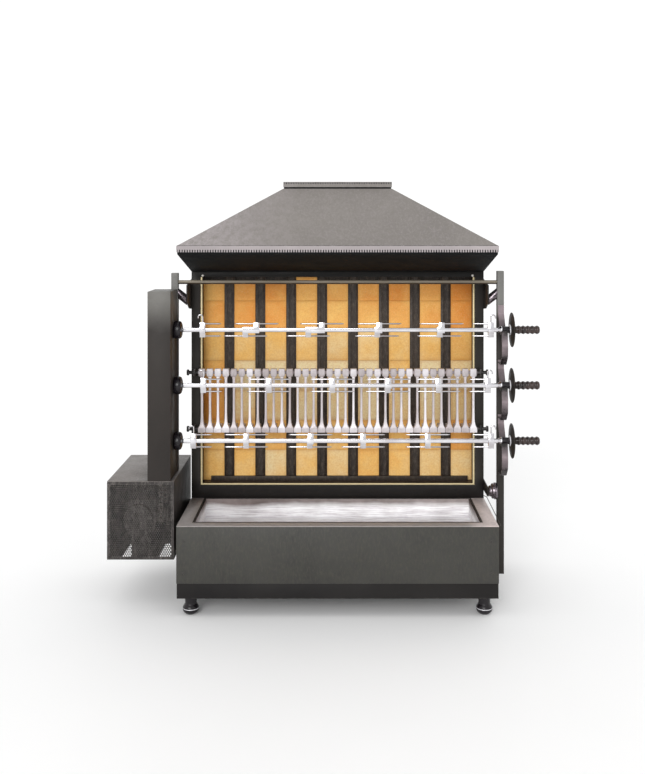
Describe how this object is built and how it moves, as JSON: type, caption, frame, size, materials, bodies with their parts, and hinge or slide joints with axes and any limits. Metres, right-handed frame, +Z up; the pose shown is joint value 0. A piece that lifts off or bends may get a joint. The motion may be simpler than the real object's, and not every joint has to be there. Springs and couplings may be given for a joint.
{
  "type": "rotisserie oven",
  "caption": "Charcoal chicken rotisserie with motor-driven horizontal spits, forks, a fire basket before a brick back, a drip tray and a smoke hood.",
  "frame": {"origin": "bottom centre of the whole machine's bounding box, on the floor", "axes": "+X to the right along the spits towards their handles, +Y from the open front to the back, +Z up"},
  "size_m": [1.677, 0.602, 1.63],
  "materials": {
    "base_paint": "satin heat-resistant paint",
    "dark_paint": "satin heat-resistant paint, near black",
    "hood_paint": "satin hammered grey paint",
    "post_paint": "satin paint, rubbed",
    "cover_paint": "satin paint",
    "rim_steel": "brushed, heat-tinted",
    "tray_steel": "polished",
    "trim_steel": "brushed, pale",
    "hook_steel": "oiled, dark",
    "drum_steel": "gloss black",
    "chrome": "polished chrome plate",
    "grate_iron": "scale-free casting, light grey",
    "firebrick": "matt fired clay, sand to orange",
    "bearing_iron": "machined",
    "chain_steel": "oiled",
    "motor_aluminium": "cast",
    "gland_plastic": "moulded nylon",
    "screw_steel": "zinc-plated",
    "grip_plastic": "moulded phenolic, dark brown"
  },
  "bodies": {
    "oven": {"base_shell": "base_paint", "base_plinth": "dark_paint", "base_rim": "rim_steel", "bun_feet": "dark_paint", "back_casing": "dark_paint", "firebox_liner": "dark_paint", "fire_bricks": "firebrick", "brick_trim": "trim_steel", "hood_flare": "dark_paint", "hood_lip": "hood_paint", "hood_shell": "hood_paint", "flue_collar": "hood_paint", "left_post": "post_paint", "right_post": "post_paint", "tie_bar": "post_paint", "post_brackets": "dark_paint", "post_standoffs": "dark_paint", "spit_hooks": "hook_steel", "grate_rods": "grate_iron", "grate_tines": "grate_iron", "chain_cover": "cover_paint", "drive_box": "cover_paint", "drive_box_top": "cover_paint", "bearing_blocks": "bearing_iron", "drive_chain": "chain_steel", "gear_motor": "motor_aluminium", "cable_gland": "gland_plastic", "screws": "screw_steel"},
    "tray": {"drip_tray": "tray_steel"},
    "motor_output": {"motor_sprocket": "chain_steel"},
    "drive_1": {"drive_spindle_1": "drum_steel"},
    "spit_1": {"spit_bar_1": "chrome", "heat_shield_1": "dark_paint", "handle_grip_1": "grip_plastic"},
    "fork_1_1": {"fork_1_1": "chrome"},
    "fork_1_2": {"fork_1_2": "chrome"},
    "fork_1_3": {"fork_1_3": "chrome"},
    "fork_1_4": {"fork_1_4": "chrome"},
    "fork_1_5": {"fork_1_5": "chrome"},
    "fork_1_6": {"fork_1_6": "chrome"},
    "drive_2": {"drive_spindle_2": "drum_steel"},
    "spit_2": {"spit_bar_2": "chrome", "heat_shield_2": "dark_paint", "handle_grip_2": "grip_plastic"},
    "fork_2_1": {"fork_2_1": "chrome"},
    "fork_2_2": {"fork_2_2": "chrome"},
    "fork_2_3": {"fork_2_3": "chrome"},
    "fork_2_4": {"fork_2_4": "chrome"},
    "fork_2_5": {"fork_2_5": "chrome"},
    "fork_2_6": {"fork_2_6": "chrome"},
    "drive_3": {"drive_spindle_3": "drum_steel"},
    "spit_3": {"spit_bar_3": "chrome", "heat_shield_3": "dark_paint", "handle_grip_3": "grip_plastic"},
    "fork_3_1": {"fork_3_1": "chrome"},
    "fork_3_2": {"fork_3_2": "chrome"},
    "fork_3_3": {"fork_3_3": "chrome"},
    "fork_3_4": {"fork_3_4": "chrome"},
    "fork_3_5": {"fork_3_5": "chrome"},
    "fork_3_6": {"fork_3_6": "chrome"}
  },
  "joints": [
    {"name": "tray_lift", "type": "slide", "parent": "oven", "child": "tray", "axis": [0, 0, 1], "range_m": [0, 0.12]},
    {"name": "spit_drive_1", "type": "hinge", "parent": "oven", "child": "drive_1", "pos_m": [-0.5945, -0.099, 1.048], "axis": [1, 0, 0], "continuous": true},
    {"name": "spit_drive_2", "type": "hinge", "parent": "oven", "child": "drive_2", "pos_m": [-0.5945, -0.099, 0.83], "axis": [1, 0, 0], "continuous": true},
    {"name": "spit_drive_3", "type": "hinge", "parent": "oven", "child": "drive_3", "pos_m": [-0.5945, -0.099, 0.612], "axis": [1, 0, 0], "continuous": true},
    {"name": "motor_spin", "type": "hinge", "parent": "oven", "child": "motor_output", "pos_m": [-0.6395, -0.099, 0.33484], "axis": [1, 0, 0], "continuous": true},
    {"name": "spit_pull_1", "type": "slide", "parent": "drive_1", "child": "spit_1", "axis": [1, 0, 0], "range_m": [0, 0.0145]},
    {"name": "spit_pull_2", "type": "slide", "parent": "drive_2", "child": "spit_2", "axis": [1, 0, 0], "range_m": [0, 0.0145]},
    {"name": "spit_pull_3", "type": "slide", "parent": "drive_3", "child": "spit_3", "axis": [1, 0, 0], "range_m": [0, 0.0145]},
    {"name": "fork_slide_1_1", "type": "slide", "parent": "spit_1", "child": "fork_1_1", "axis": [1, 0, 0], "range_m": [-0.056, 0.002]},
    {"name": "fork_slide_1_2", "type": "slide", "parent": "spit_1", "child": "fork_1_2", "axis": [1, 0, 0], "range_m": [-0.002, 0.012]},
    {"name": "fork_slide_1_3", "type": "slide", "parent": "spit_1", "child": "fork_1_3", "axis": [1, 0, 0], "range_m": [-0.012, 0.02]},
    {"name": "fork_slide_1_4", "type": "slide", "parent": "spit_1", "child": "fork_1_4", "axis": [1, 0, 0], "range_m": [-0.02, 0.03]},
    {"name": "fork_slide_1_5", "type": "slide", "parent": "spit_1", "child": "fork_1_5", "axis": [1, 0, 0], "range_m": [-0.03, 0.014]},
    {"name": "fork_slide_1_6", "type": "slide", "parent": "spit_1", "child": "fork_1_6", "axis": [1, 0, 0], "range_m": [-0.014, 0]},
    {"name": "fork_slide_2_1", "type": "slide", "parent": "spit_2", "child": "fork_2_1", "axis": [1, 0, 0], "range_m": [-0.06, 0.047]},
    {"name": "fork_slide_2_2", "type": "slide", "parent": "spit_2", "child": "fork_2_2", "axis": [1, 0, 0], "range_m": [-0.047, 0.036]},
    {"name": "fork_slide_2_3", "type": "slide", "parent": "spit_2", "child": "fork_2_3", "axis": [1, 0, 0], "range_m": [-0.036, 0.02]},
    {"name": "fork_slide_2_4", "type": "slide", "parent": "spit_2", "child": "fork_2_4", "axis": [1, 0, 0], "range_m": [-0.02, 0.008]},
    {"name": "fork_slide_2_5", "type": "slide", "parent": "spit_2", "child": "fork_2_5", "axis": [1, 0, 0], "range_m": [-0.008, 0.015]},
    {"name": "fork_slide_2_6", "type": "slide", "parent": "spit_2", "child": "fork_2_6", "axis": [1, 0, 0], "range_m": [-0.015, 0.013]},
    {"name": "fork_slide_3_1", "type": "slide", "parent": "spit_3", "child": "fork_3_1", "axis": [1, 0, 0], "range_m": [-0.02, 0.022]},
    {"name": "fork_slide_3_2", "type": "slide", "parent": "spit_3", "child": "fork_3_2", "axis": [1, 0, 0], "range_m": [-0.022, 0.036]},
    {"name": "fork_slide_3_3", "type": "slide", "parent": "spit_3", "child": "fork_3_3", "axis": [1, 0, 0], "range_m": [-0.036, 0.014]},
    {"name": "fork_slide_3_4", "type": "slide", "parent": "spit_3", "child": "fork_3_4", "axis": [1, 0, 0], "range_m": [-0.014, 0.038]},
    {"name": "fork_slide_3_5", "type": "slide", "parent": "spit_3", "child": "fork_3_5", "axis": [1, 0, 0], "range_m": [-0.038, 0.042]},
    {"name": "fork_slide_3_6", "type": "slide", "parent": "spit_3", "child": "fork_3_6", "axis": [1, 0, 0], "range_m": [-0.042, 0]}
  ],
  "couplings": [
    {"joint": "spit_drive_2", "follows": "spit_drive_1", "ratio": 1},
    {"joint": "spit_drive_3", "follows": "spit_drive_1", "ratio": 1},
    {"joint": "motor_spin", "follows": "spit_drive_1", "ratio": 1}
  ]
}
